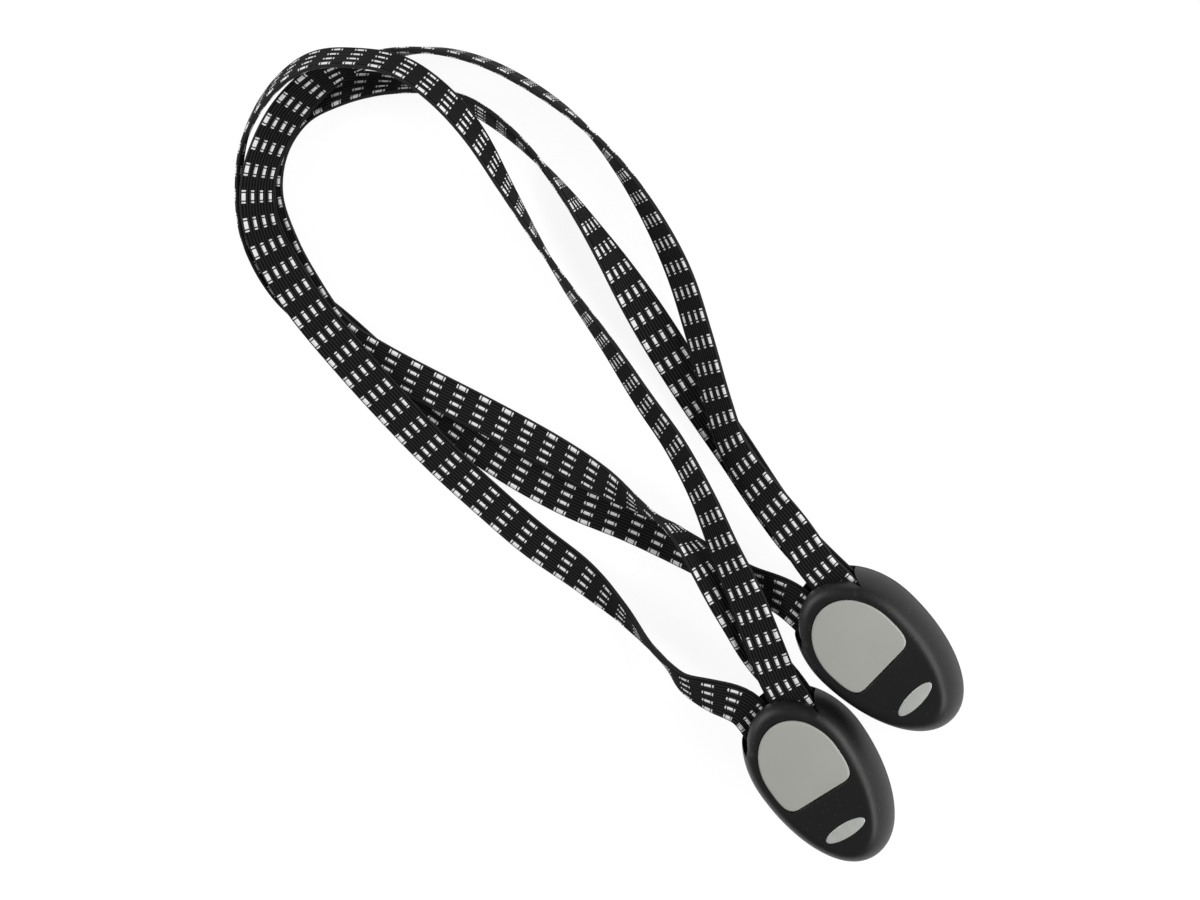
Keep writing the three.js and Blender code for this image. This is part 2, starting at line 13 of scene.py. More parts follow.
import bmesh
import bpy
import numpy as np
from bpy.types import Material, Node, NodeSocket, Object
from mathutils import Matrix, Vector
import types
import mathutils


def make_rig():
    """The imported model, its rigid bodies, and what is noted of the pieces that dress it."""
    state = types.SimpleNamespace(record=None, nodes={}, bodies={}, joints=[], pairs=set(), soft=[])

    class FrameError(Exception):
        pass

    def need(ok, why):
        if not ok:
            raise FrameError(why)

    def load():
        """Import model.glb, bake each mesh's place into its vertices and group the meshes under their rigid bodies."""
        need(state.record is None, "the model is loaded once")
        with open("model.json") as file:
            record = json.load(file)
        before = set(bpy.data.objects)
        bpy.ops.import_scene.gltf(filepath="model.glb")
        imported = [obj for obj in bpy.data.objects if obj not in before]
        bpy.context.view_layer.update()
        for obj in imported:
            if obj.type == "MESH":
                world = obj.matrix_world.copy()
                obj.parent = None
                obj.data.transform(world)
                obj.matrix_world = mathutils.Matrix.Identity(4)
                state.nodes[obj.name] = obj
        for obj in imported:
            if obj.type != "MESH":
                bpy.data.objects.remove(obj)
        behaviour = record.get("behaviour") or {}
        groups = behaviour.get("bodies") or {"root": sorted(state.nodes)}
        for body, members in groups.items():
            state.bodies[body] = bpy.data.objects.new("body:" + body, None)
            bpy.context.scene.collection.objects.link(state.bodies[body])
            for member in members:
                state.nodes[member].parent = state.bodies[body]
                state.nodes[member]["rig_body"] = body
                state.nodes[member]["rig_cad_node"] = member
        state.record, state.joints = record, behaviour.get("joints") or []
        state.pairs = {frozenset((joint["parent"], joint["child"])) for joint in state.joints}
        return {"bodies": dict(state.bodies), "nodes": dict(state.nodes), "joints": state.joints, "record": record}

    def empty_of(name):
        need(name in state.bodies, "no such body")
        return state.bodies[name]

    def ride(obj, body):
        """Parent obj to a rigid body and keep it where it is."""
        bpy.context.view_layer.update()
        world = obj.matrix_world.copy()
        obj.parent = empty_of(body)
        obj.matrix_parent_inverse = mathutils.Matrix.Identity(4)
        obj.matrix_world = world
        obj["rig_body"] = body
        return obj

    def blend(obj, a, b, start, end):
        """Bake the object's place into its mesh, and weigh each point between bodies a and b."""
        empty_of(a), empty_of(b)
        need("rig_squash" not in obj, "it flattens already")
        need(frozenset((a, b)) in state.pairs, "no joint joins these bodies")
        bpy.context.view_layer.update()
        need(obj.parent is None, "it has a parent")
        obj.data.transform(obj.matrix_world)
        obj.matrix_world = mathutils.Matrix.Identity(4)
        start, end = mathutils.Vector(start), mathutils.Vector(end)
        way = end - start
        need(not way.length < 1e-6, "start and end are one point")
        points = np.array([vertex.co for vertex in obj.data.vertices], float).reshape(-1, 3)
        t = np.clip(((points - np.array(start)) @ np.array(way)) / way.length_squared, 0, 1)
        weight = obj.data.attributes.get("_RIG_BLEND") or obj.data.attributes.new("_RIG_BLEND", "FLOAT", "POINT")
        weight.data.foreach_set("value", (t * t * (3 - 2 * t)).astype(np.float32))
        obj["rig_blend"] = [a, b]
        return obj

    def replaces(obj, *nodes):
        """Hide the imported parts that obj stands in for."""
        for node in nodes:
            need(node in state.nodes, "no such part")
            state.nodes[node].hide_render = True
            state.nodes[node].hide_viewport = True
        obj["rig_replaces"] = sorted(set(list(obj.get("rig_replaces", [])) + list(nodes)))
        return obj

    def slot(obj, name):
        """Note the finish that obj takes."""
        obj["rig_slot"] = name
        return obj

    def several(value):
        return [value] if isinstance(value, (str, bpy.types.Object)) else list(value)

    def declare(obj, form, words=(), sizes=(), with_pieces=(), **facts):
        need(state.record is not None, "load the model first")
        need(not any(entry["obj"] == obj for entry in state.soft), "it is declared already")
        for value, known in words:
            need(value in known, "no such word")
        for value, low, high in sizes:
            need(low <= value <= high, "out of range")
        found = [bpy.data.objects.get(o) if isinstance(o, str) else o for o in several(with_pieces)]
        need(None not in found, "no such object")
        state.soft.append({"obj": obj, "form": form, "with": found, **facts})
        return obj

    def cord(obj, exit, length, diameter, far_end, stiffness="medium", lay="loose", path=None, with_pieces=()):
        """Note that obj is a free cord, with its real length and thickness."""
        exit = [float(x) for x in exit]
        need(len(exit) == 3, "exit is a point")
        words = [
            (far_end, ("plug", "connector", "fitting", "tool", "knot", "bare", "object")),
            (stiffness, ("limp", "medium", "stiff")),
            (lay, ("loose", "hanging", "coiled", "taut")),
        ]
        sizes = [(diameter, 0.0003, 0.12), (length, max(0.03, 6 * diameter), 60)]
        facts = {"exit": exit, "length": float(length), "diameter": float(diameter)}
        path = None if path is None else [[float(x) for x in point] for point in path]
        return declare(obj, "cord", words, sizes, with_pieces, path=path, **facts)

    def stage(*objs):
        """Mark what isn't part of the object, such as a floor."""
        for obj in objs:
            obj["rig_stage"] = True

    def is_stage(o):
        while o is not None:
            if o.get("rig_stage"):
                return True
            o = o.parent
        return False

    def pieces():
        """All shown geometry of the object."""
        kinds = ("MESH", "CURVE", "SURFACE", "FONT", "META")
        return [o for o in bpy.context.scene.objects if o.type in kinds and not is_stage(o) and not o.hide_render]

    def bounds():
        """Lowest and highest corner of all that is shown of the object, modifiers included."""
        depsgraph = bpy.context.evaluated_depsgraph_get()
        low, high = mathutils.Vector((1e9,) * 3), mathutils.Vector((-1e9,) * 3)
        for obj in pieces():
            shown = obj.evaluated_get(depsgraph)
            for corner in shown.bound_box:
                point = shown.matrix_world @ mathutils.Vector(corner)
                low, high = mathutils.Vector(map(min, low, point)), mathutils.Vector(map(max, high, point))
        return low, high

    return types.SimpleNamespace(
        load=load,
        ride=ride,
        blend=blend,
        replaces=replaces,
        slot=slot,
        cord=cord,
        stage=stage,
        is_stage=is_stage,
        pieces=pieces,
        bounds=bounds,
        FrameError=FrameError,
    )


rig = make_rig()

log = logging.getLogger("bungee")

MM = 0.001
SIZE_FILE = "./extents.json"
SHARP_DEGREES = 38.0
WELD_METRES = 2e-7
HOOK_DROP = 23.5

Number = Union[int, float]
Operand = Union["Value", Number]
Pair = tuple[float, float]
Point = tuple[float, float, float]
Station = tuple[float, float, float, float]
Faces = list[list[int]]


class Value:
    """One shader socket that takes part in Python expressions."""

    def __init__(self, tree: ShaderTree, socket: NodeSocket) -> None:
        """Keeps the socket and the tree that it belongs to."""
        self.tree = tree
        self.socket = socket

    def math(self, operation: str, *others: Operand, clamp: bool = False) -> Value:
        """Adds a Math node.

        Args:
            operation: Blender's name for the operation.
            others: The further operands, values or plain numbers.
            clamp: Whether the result stays between 0 and 1.

        Returns:
            The node's result.
        """
        return self.tree.math(operation, self, *others, clamp=clamp)

    def __add__(self, other: Operand) -> Value:
        """Sum."""
        return self.math("ADD", other)

    __radd__ = __add__

    def __sub__(self, other: Operand) -> Value:
        """Difference."""
        return self.math("SUBTRACT", other)

    def __rsub__(self, other: Number) -> Value:
        """Difference from a plain number."""
        return self.tree.math("SUBTRACT", other, self)

    def __mul__(self, other: Operand) -> Value:
        """Product."""
        return self.math("MULTIPLY", other)

    def __truediv__(self, other: Operand) -> Value:
        """Quotient."""
        return self.math("DIVIDE", other)

    def __mod__(self, other: Number) -> Value:
        """Remainder that is never below zero."""
        return self.math("FLOORED_MODULO", other)

    def __abs__(self) -> Value:
        """Distance from zero."""
        return self.math("ABSOLUTE")

    def clamp(self) -> Value:
        """The value held between 0 and 1."""
        return self.math("ADD", 0.0, clamp=True)

    def sine(self) -> Value:
        """Sine of the value in radians."""
        return self.math("SINE")

    def band(self, centre: Number, half: Number, soft: Number) -> Value:
        """A mask that is 1 near a centre and fades over a soft edge.

        Args:
            centre: The middle of the band.
            half: Half of its width.
            soft: The width of each edge.

        Returns:
            The mask.
        """
        return ((half - abs(self - centre)) / soft + 0.5).clamp()


class ShaderTree:
    """A material's node tree, built by expressions."""

    def __init__(self, name: str) -> None:
        """Starts a material with only its shader and its output."""
        self.material = bpy.data.materials.new(name)
        self.material.use_nodes = True
        self.tree = self.material.node_tree
        self.shader = self.tree.nodes["Principled BSDF"]
        self.output = self.tree.nodes["Material Output"]

    def node(self, kind: str, settings: dict | None = None, inputs: dict | None = None) -> Node:
        """Adds any node.

        Args:
            kind: The node's type.
            settings: Its properties.
            inputs: A value or a link for each socket, by name or number.

        Returns:
            The node.
        """
        made = self.tree.nodes.new(kind)
        for key, setting in (settings or {}).items():
            setattr(made, key, setting)
        for key, given in (inputs or {}).items():
            self.feed(made.inputs[key], given)
        return made

    def feed(self, socket: NodeSocket, given: Any) -> None:
        """Links a value or an output to a socket, or sets the socket's own number."""
        if isinstance(given, Value):
            self.tree.links.new(given.socket, socket)
        elif isinstance(given, NodeSocket):
            self.tree.links.new(given, socket)
        else:
            socket.default_value = given

    def math(self, operation: str, *operands: Operand, clamp: bool = False) -> Value:
        """Adds a Math node for the operands and gives its result."""
        settings = {"operation": operation, "use_clamp": clamp}
        made = self.node("ShaderNodeMath", settings, dict(enumerate(operands)))
        return Value(self, made.outputs[0])

    def mix(self, factor: Value, first: Any, second: Any) -> NodeSocket:
        """A colour between two others, plain or linked, by a factor."""
        colours = [(*given, 1.0) if isinstance(given, tuple) else given for given in (first, second)]
        made = self.node("ShaderNodeMix", {"data_type": "RGBA"}, {0: factor, 6: colours[0], 7: colours[1]})
        return made.outputs[2]

    def noise(self, scale: float, detail: float, where: Any = None) -> Value:
        """Soft noise in the object's own space, or at a given place, with a scale per metre."""
        place = where if where is not None else self.node("ShaderNodeTexCoord").outputs["Object"]
        inputs = {"Vector": place, "Scale": scale, "Detail": detail}
        return Value(self, self.node("ShaderNodeTexNoise", inputs=inputs).outputs["Fac"])

    def bump(self, height: Value, strength: float, distance: float) -> None:
        """Feeds a height into the shader's normal."""
        inputs = {"Height": height, "Strength": strength, "Distance": distance}
        made = self.node("ShaderNodeBump", inputs=inputs)
        self.feed(self.shader.inputs["Normal"], made.outputs["Normal"])

    def grain(self, scale: float, strength: float, depth: float) -> Value:
        """Gives the surface a fine grain, and returns the noise that makes it."""
        noise = self.noise(scale, 2.0)
        self.bump(noise, strength, depth)
        return noise

    def set(self, **sockets: Any) -> None:
        """Feeds the shader's sockets, written with underscores for spaces."""
        for name, given in sockets.items():
            self.feed(self.shader.inputs[name.replace("_", " ")], given)


@dataclass(frozen=True)
class MouldedPlastic:
    """Black satin plastic with a fine moulded grain and a few pale specks."""

    name: str = "black_moulded_plastic"
    colour: Point = (0.0038, 0.0035, 0.0036)
    worn: Point = (0.007, 0.0066, 0.0067)
    speck: Point = (0.12, 0.12, 0.12)
    cloud_scale: float = 38.0
    grain: Point = (2600.0, 0.22, 0.00012)
    speck_scale: float = 1500.0
    speck_level: float = 0.79
    speck_gain: float = 14.0
    speck_weight: float = 0.5
    roughness: float = 0.46
    cloud_rough: float = 0.12
    grain_rough: float = 0.1
    specular: float = 0.38

    def make(self) -> Material:
        """Builds the material."""
        tree = ShaderTree(self.name)
        cloud = tree.noise(self.cloud_scale, 4.0)
        grain = tree.grain(*self.grain)
        specks = ((tree.noise(self.speck_scale, 0.0) - self.speck_level) * self.speck_gain).clamp()
        body = tree.mix(cloud, self.colour, self.worn)
        tree.set(Base_Color=tree.mix(specks * self.speck_weight, body, self.speck))
        rough = self.roughness + (cloud - 0.5) * self.cloud_rough + (grain - 0.5) * self.grain_rough
        tree.set(Roughness=rough, Specular_IOR_Level=self.specular)
        return tree.material


@dataclass(frozen=True)
class PadPlastic:
    """Matte warm-grey plastic of the grip pads."""

    name: str = "warm_grey_pad"
    colour: Point = (0.323, 0.328, 0.3)
    paler: Point = (0.369, 0.373, 0.341)
    cloud_scale: float = 60.0
    grain: Point = (3400.0, 0.12, 0.0001)
    roughness: float = 0.5
    grain_rough: float = 0.14

    def make(self) -> Material:
        """Builds the material."""
        tree = ShaderTree(self.name)
        cloud = tree.noise(self.cloud_scale, 3.0)
        tree.set(Base_Color=tree.mix(cloud, self.colour, self.paler))
        tree.set(Roughness=self.roughness + (tree.grain(*self.grain) - 0.5) * self.grain_rough)
        return tree.material


@dataclass(frozen=True)
class OvalGloss:
    """Pale glossy plastic of the oval inlays."""

    name: str = "pale_oval_gloss"
    colour: Point = (0.345, 0.36, 0.337)
    paler: Point = (0.434, 0.449, 0.424)
    cloud_scale: float = 240.0
    roughness: float = 0.2
    cloud_rough: float = 0.16
    coat: float = 0.4
    coat_roughness: float = 0.08

    def make(self) -> Material:
        """Builds the material."""
        tree = ShaderTree(self.name)
        cloud = tree.noise(self.cloud_scale, 3.0)
        tree.set(Base_Color=tree.mix(cloud, self.colour, self.paler))
        tree.set(Roughness=self.roughness + (cloud - 0.5) * self.cloud_rough)
        tree.set(Coat_Weight=self.coat, Coat_Roughness=self.coat_roughness)
        return tree.material


@dataclass(frozen=True)
class PlainZinc:
    """Zinc-plated steel of the screws and crimps."""

    name: str = "plain_zinc"
    colour: Point = (0.5, 0.5, 0.51)
    paler: Point = (0.66, 0.66, 0.66)
    cloud_scale: float = 420.0
    grain: Point = (2200.0, 0.1, 0.0001)
    roughness: float = 0.34
    cloud_rough: float = 0.2

    def make(self) -> Material:
        """Builds the material."""
        tree = ShaderTree(self.name)
        cloud = tree.noise(self.cloud_scale, 4.0)
        tree.set(Base_Color=tree.mix(cloud, self.colour, self.paler))
        tree.set(Metallic=1.0, Roughness=self.roughness + (cloud - 0.5) * self.cloud_rough)
        tree.grain(*self.grain)
        return tree.material


@dataclass(frozen=True)
class ElasticWebbing:
    """Black ribbed elastic with columns of pale dashes, each a block between two ticks, in millimetres; its ribs carry
    painted shade, near black, in their grooves and a painted highlight, dark grey, on their crests.
    """

    name: str = "elastic_webbing"
    rib: float = 13.4 / 11
    first_rib: float = 0.8
    twist: float = 0.62
    strand: float = 0.36
    cloud_scale: float = 0.35
    soft: float = 0.16
    tick_extra: float = 0.02
    period: float = 9.85
    columns: tuple[Pair, ...] = ((1.35, 0.8), (5.06, 0.6), (8.72, 0.6), (12.37, 0.6))
    block: Pair = (2.4, 1.3)
    ticks: tuple[Pair, ...] = ((0.33, 0.27), (4.47, 0.27))
    # Painted shade: the near black of the rib grooves.
    black: Point = (0.0008, 0.0008, 0.0008)
    # The crests' dark grey, partly the yarn's own colour and partly a painted highlight.
    crest: Point = (0.0215, 0.0203, 0.0205)
    pale: Point = (0.82, 0.82, 0.83)
    pale_low: float = 0.35
    slant: Pair = (0.9, 0.8)
    ridge_gain: float = 2.0
    ridge_level: float = 0.7
    # Weights of the painted highlight on the rib crests: plain, by the weave's twist and by a random cloud.
    rib_painted_light: Point = (0.55, 0.25, 0.3)
    yarn_light: Station = (0.76, 0.1, 0.06, 0.14)
    roughness: float = 0.78
    dash_rough: float = -0.28
    sheen: float = 0.06
    sheen_roughness: float = 0.5
    specular: float = 0.1
    relief: Point = (0.7, 0.3, 0.25)
    relief_strength: float = 0.5
    relief_depth: float = 0.0002

    def bands(self, place: Value, marks: Iterable[Pair], extra: float = 0.0) -> Value:
        """The summed bands of some marks.

        Args:
            place: The place along or across the strap.
            marks: Each mark's middle and half of its length.
            extra: How much is added to each half.

        Returns:
            The sum of their masks.
        """
        masks = [place.band(centre, half + extra, self.soft) for centre, half in marks]
        return sum(masks[1:], masks[0])

    def make(self) -> Material:
        """Builds the material."""
        tree = ShaderTree(self.name)
        place = tree.node("ShaderNodeAttribute", {"attribute_name": Webbing.WEAVE})
        parts = tree.node("ShaderNodeSeparateXYZ", inputs={"Vector": place.outputs["Vector"]})
        across, along = (Value(tree, parts.outputs[axis]) for axis in "XY")
        phase = along % self.period
        blocks = self.bands(phase, [self.block]) * self.bands(across, self.columns)
        ticks = self.bands(phase, self.ticks) * self.bands(across, self.columns, self.tick_extra)
        dashes = (blocks + ticks).clamp()
        within = ((across - self.first_rib) % self.rib) / self.rib
        hill = 1.0 - abs(within - 0.5) * 2.0
        slanted = along * self.slant[0] + across * self.slant[1]
        twist = (slanted * (2 * pi / self.twist)).sine() * 0.5 + 0.5
        cloud = tree.noise(self.cloud_scale, 3.0, place.outputs["Vector"])
        # Painted shade and highlight: the ribs go near black in their grooves and dark grey on their crests, with the
        # crest grey varied by the weave's twist and a random cloud.
        plain, by_twist, by_cloud = self.rib_painted_light
        ridge = (hill * self.ridge_gain - self.ridge_level).clamp()
        painted_crest_light = ridge * (plain + twist * by_twist + cloud * by_cloud)
        painted_rib_shade = tree.mix(painted_crest_light.clamp(), self.black, self.crest)
        strand = (across * (2 * pi / self.strand)).sine() * 0.5 + 0.5
        plain, by_strand, by_twist, by_cloud = self.yarn_light
        lit = (plain + strand * by_strand + twist * by_twist + cloud * by_cloud).clamp()
        yarn = tree.mix(lit, tuple(self.pale_low * part for part in self.pale), self.pale)
        tree.set(Base_Color=tree.mix(dashes, painted_rib_shade, yarn))
        tree.set(Roughness=self.roughness + dashes * self.dash_rough, Specular_IOR_Level=self.specular)
        tree.set(Sheen_Weight=self.sheen, Sheen_Roughness=self.sheen_roughness)
        height = hill * self.relief[0] + twist * self.relief[1] + dashes * self.relief[2]
        tree.bump(height, self.relief_strength, self.relief_depth)
        return tree.material


def mesh_object(
    name: str,
    points: Sequence[Sequence[float]],
    faces: Faces,
    finish: Material,
    sharp_degrees: float = SHARP_DEGREES,
    weld: float = 0.0,
) -> Object:
    """Makes a smooth-shaded mesh object with creases where its faces meet steeply.

    Args:
        name: The piece's name.
        points: Its points, in metres.
        faces: Its faces, as runs of point numbers.
        finish: Its material.
        sharp_degrees: The angle past which an edge stays sharp.
        weld: The distance within which points become one, if any do.

    Returns:
        The object, linked to the scene.
    """
    mesh = bpy.data.meshes.new(name)
    plain_points = [tuple(map(float, point)) for point in points]
    mesh.from_pydata(plain_points, [], [tuple(map(int, face)) for face in faces])
    mesh.validate()
    if weld:
        work = bmesh.new()
        work.from_mesh(mesh)
        bmesh.ops.remove_doubles(work, verts=work.verts, dist=weld)
        work.to_mesh(mesh)
        work.free()
    mesh.shade_smooth()
    mesh.set_sharp_from_angle(angle=radians(sharp_degrees))
    mesh.materials.append(finish)
    made = bpy.data.objects.new(name, mesh)
    bpy.context.scene.collection.objects.link(made)
    return made


def join(name: str, parts: Sequence[Object], finish: Material) -> Object:
    """Joins meshes into one object with one finish, and removes their own objects."""
    points: list[Point] = []
    faces: Faces = []
    for part in parts:
        shift = len(points)
        points += [tuple(part.matrix_world @ vert.co) for vert in part.data.vertices]
        faces += [[shift + i for i in face.vertices] for face in part.data.polygons]
        bpy.data.objects.remove(part)
    return mesh_object(name, points, faces, finish)


def ring_faces(rings: int, around: int, looped: bool = False) -> Faces:
    """Quads between closed rings of points.

    Args:
        rings: How many rings there are.
        around: The points in each ring.
        looped: Whether the last ring joins the first.

    Returns:
        The faces, as runs of point numbers.
    """
    faces = []
    for ring in range(rings if looped else rings - 1):
        for i in range(around):
            j = (i + 1) % around
            low, high = ring * around, (ring + 1) % rings * around
            faces.append([low + i, low + j, high + j, high + i])
    return faces


def even_turns(count: int) -> np.ndarray:
    """Even angles once round."""
    return np.linspace(0, 2 * pi, count, endpoint=False)


def capped_rings(rings: int, around: int) -> Faces:
    """Quads between rings of points, with a face over the first ring and one over the last."""
    last = (rings - 1) * around
    return [*ring_faces(rings, around), list(range(around))[::-1], list(range(last, last + around))]


@dataclass(frozen=True)
class EndPlace:
    """Where a hook end lies on the table, in millimetres and degrees."""

    x: float
    y: float
    yaw: float
    drop: float = HOOK_DROP

    def matrix(self) -> Matrix:
        """The end's placement, from its own millimetres to metres in the frame."""
        turn = Matrix.Rotation(radians(self.yaw), 4, "Z")
        return Matrix.Translation(Vector((self.x, self.y, self.drop)) * MM) @ turn @ Matrix.Scale(MM, 4)

    def at(self, x: float, y: float, z: float) -> Point:
        """A point of the end in millimetres of the frame."""
        return tuple(self.matrix() @ Vector((x, y, z)) / MM)


class End(Enum):
    """The two hook ends, by their names in the frame."""

    FRONT = "front"
    REAR = "rear"

    @property
    def place(self) -> EndPlace:
        """Where the end lies."""
        return EndPlace(-4.1, 24.0, -6.5) if self is End.FRONT else EndPlace(17.9, -24.0, 6.5)

    @property
    def body(self) -> str:
        """The moving body's name."""
        return f"{self.value}_end"


class Slot(Enum):
    """The three slots of an end: sideways place and height above the parting line."""

    LOWER = (-8.8, 2.55)
    UPPER = (-8.8, 7.35)
    SINGLE = (8.8, 4.95)


class WideEdge(Enum):
    """The edge of a strap that carries the wide column of dashes."""

    OUTSIDE = 1.0
    INSIDE = -1.0


@dataclass
class Webbing:
    """The woven strap's cross-section and its sampling, in millimetres."""

    WEAVE = "weave"
    width: float = 15.0
    thickness: float = 2.4
    ribs: int = 11
    rib_depth: float = 0.38
    edge: float = 0.8
    step: float = 2.2
    rib_places: tuple[float, ...] = (0.0, 0.22, 0.5, 0.78)
    edge_turns: tuple[int, ...] = (-60, -30, 0, 30, 60)

    def section(self) -> tuple[np.ndarray, np.ndarray]:
        """The ribbed section.

        Returns:
            Its points, across and through the strap, and for each the place across and the face.
        """
        half, face = self.width / 2, self.thickness / 2
        flat = self.width - 2 * self.edge
        across = [(rib + part) / self.ribs for rib in range(self.ribs) for part in self.rib_places] + [1.0]
        points: list[Pair] = []
        weave: list[Pair] = []
        for side in (1.0, -1.0):
            for share in across:
                x = side * (share * flat - flat / 2)
                crest = 0.5 - 0.5 * cos(2 * pi * share * self.ribs)
                points.append((x, -side * (face - self.rib_depth * (1 - crest))))
                weave.append((x + half, 0.0 if side > 0 else 1.0))
            shoulder = face - self.rib_depth
            for turn in self.edge_turns:
                angle = radians(turn)
                x = side * (half - self.edge + self.edge * cos(angle))
                points.append((x, side * shoulder * sin(angle)))
                weave.append((half + x, 0.0 if side * turn < 0 else 1.0))
        return np.array(points), np.array(weave)


@dataclass
class Strap:
    """One elastic strap, from a slot of one end along its lay into a slot of the other."""

    node: str
    start: tuple[End, Slot, float]
    lay: Sequence[Station]
    finish: tuple[End, Slot, float]
    wide_edge: WideEdge
    webbing: Webbing = field(default_factory=Webbing)
    tail: float = -3.0
    mouth: float = 29.0
    loose_from: float = 300.0
    held_from: float = 52.0
    span_steps: int = 24
    easings: int = 3
    sharp_degrees: float = 75.0

    def slot_stations(self, end: End, slot: Slot, roll: float) -> list[Station]:
        """Three stations that run straight through a slot, from the strap's tail to the mouth."""
        side, level = slot.value
        places = (self.tail, (self.tail + self.mouth) / 2, self.mouth)
        return [(*end.place.at(x, side, level), roll) for x in places]

    def stations(self) -> np.ndarray:
        """All stations from tail to tail."""
        ends = self.slot_stations(*self.start), self.slot_stations(*self.finish)[::-1]
        return np.array([*ends[0], *self.lay, *ends[1]], float)

    @staticmethod
    def span(p: Sequence[np.ndarray], share: np.ndarray) -> np.ndarray:
        """Points of a centripetal curve between the middle two of four stations.

        Args:
            p: Four stations, of which the curve runs from the second to the third.
            share: Shares of the way between them.

        Returns:
            The points, with the roll as their fourth number.
        """
        d0, d1, d2 = (float(np.linalg.norm(b[:3] - a[:3])) ** 0.5 for a, b in zip(p, p[1:]))
        out = ((p[1] - p[0]) / d0 - (p[2] - p[0]) / (d0 + d1) + (p[2] - p[1]) / d1) * d1
        into = ((p[2] - p[1]) / d1 - (p[3] - p[1]) / (d1 + d2) + (p[3] - p[2]) / d2) * d1
        t = share[:, None]
        square = -3 * p[1] + 3 * p[2] - 2 * out - into
        cube = 2 * p[1] - 2 * p[2] + out + into
        return p[1] + out * t + square * t**2 + cube * t**3

    def centreline(self) -> np.ndarray:
        """The strap's centreline and roll at even steps, eased where stations meet.

        Returns:
            Rows of x, y, z in millimetres and the roll in radians.
        """
        stations = self.stations()
        whole = np.vstack([2 * stations[0] - stations[1], stations, 2 * stations[-1] - stations[-2]])
        share = np.linspace(0, 1, self.span_steps, endpoint=False)
        spans = [self.span(whole[i : i + 4], share) for i in range(len(stations) - 1)]
        dense = np.vstack([*spans, stations[-1:]])
        run = np.r_[0, np.cumsum(np.linalg.norm(np.diff(dense[:, :3], axis=0), axis=1))]
        even = np.linspace(0, run[-1], int(run[-1] / self.webbing.step) + 1)
        line = np.column_stack([np.interp(even, run, dense[:, k]) for k in range(4)])
        for _ in range(self.easings):
            line[1:-1] = (line[:-2] + 2 * line[1:-1] + line[2:]) / 4
        line[:, 3] = np.radians(line[:, 3])
        return line

    @staticmethod
    def frames(line: np.ndarray) -> tuple[np.ndarray, np.ndarray]:
        """The directions across and through the webbing at each step of its line."""
        tangent = np.gradient(line[:, :3], axis=0)
        tangent /= np.linalg.norm(tangent, axis=1)[:, None]
        side = np.cross((0.0, 0.0, 1.0), tangent)
        side /= np.linalg.norm(side, axis=1)[:, None]
        lift = np.cross(tangent, side)
        roll = line[:, 3:4]
        across = side * np.cos(roll) + lift * np.sin(roll)
        return across, np.cross(tangent, across)

    def half(self, end: End, line: np.ndarray, begin: int, stop: int, cloth: Material) -> None:
        """Builds one half of the strap, which stretches with its end.

        Args:
            end: The hook end that holds this half.
            line: The whole strap's centreline.
            begin: The first step of this half.
            stop: The step after its last.
            cloth: The webbing's material.
        """
        section, weave = self.webbing.section()
        across, through = self.frames(line)
        run = np.r_[0, np.cumsum(np.linalg.norm(np.diff(line[:, :3], axis=0), axis=1))]
        steps = range(begin, stop)
        points = [line[i, :3] + section[:, :1] * across[i] + section[:, 1:] * through[i] for i in steps]
        around = len(section)
        faces = capped_rings(len(points), around)
        name = f"{self.node}_{end.value}_half"
        made = mesh_object(name, np.vstack(points) * MM, faces, cloth, self.sharp_degrees)
        centre = self.webbing.width / 2
        lane = centre + self.wide_edge.value * (weave[:, 0] - centre)
        values = np.vstack([np.column_stack([lane, np.full(around, run[i]), weave[:, 1]]) for i in steps])
        store = made.data.attributes.new(Webbing.WEAVE, "FLOAT_VECTOR", "POINT")
        store.data.foreach_set("vector", values.astype(np.float32).ravel())
        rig.blend(made, "straps", end.body, (self.loose_from * MM, 0, 0), (self.held_from * MM, 0, 0))
        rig.replaces(made, self.node)
        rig.slot(made, "webbing")
        path = line[begin:stop, :3] * MM
        if end is self.finish[0]:
            path = path[::-1]
        length = float(np.linalg.norm(np.diff(path, axis=0), axis=1).sum())
        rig.cord(
            made, exit=path[0], length=length, diameter=self.webbing.width * MM,
            far_end="object", stiffness="limp", lay="loose", path=path,
        )
        log.info("%s: %.0f mm", made.name, length / MM)

    def build(self, cloth: Material) -> None:
        """Builds both halves, which meet at the far bend of the loop."""
        line = self.centreline()
        bend = int(np.argmax(line[:, 0]))
        self.half(self.start[0], line, 0, bend + 1, cloth)
        self.half(self.finish[0], line, bend, len(line), cloth)


OUTER_LAY: tuple[Station, ...] = (
    (38, 7, 31.5, 0), (57, 0, 31, -10), (77, -5.5, 28.5, -26), (96, -11, 25.5, -36), (118, -14, 19, -40),
    (138, -14.5, 14, -44), (163, -17, 11, -54), (186, -19, 10, -64), (207, -22, 10, -74),
    (231, -28, 14, -88), (254, -35, 22, -102), (273, -36.5, 27.3, -108), (291, -32, 28.6, -108),
    (304.5, -20.5, 27.5, -108), (315.2, -5, 23.6, -110), (318, 16.5, 16.6, -108), (312.4, 39, 11.4, -106),
    (300.6, 54.6, 9.2, -105), (286, 65, 8.8, -98), (269, 68.2, 8.4, -72), (252, 67.2, 5.4, -30),
    (238, 64.8, 3.4, -13), (221, 62.5, 2.4, -6), (199, 60, 1.8, 0), (178, 55, 1.8, 0), (153, 48, 1.8, 0),
    (128, 38, 1.8, 0), (106, 26, 1.8, 0), (88, 17, 3.2, 2), (75, 9.5, 9, 10), (61, 0, 17, 12),
)
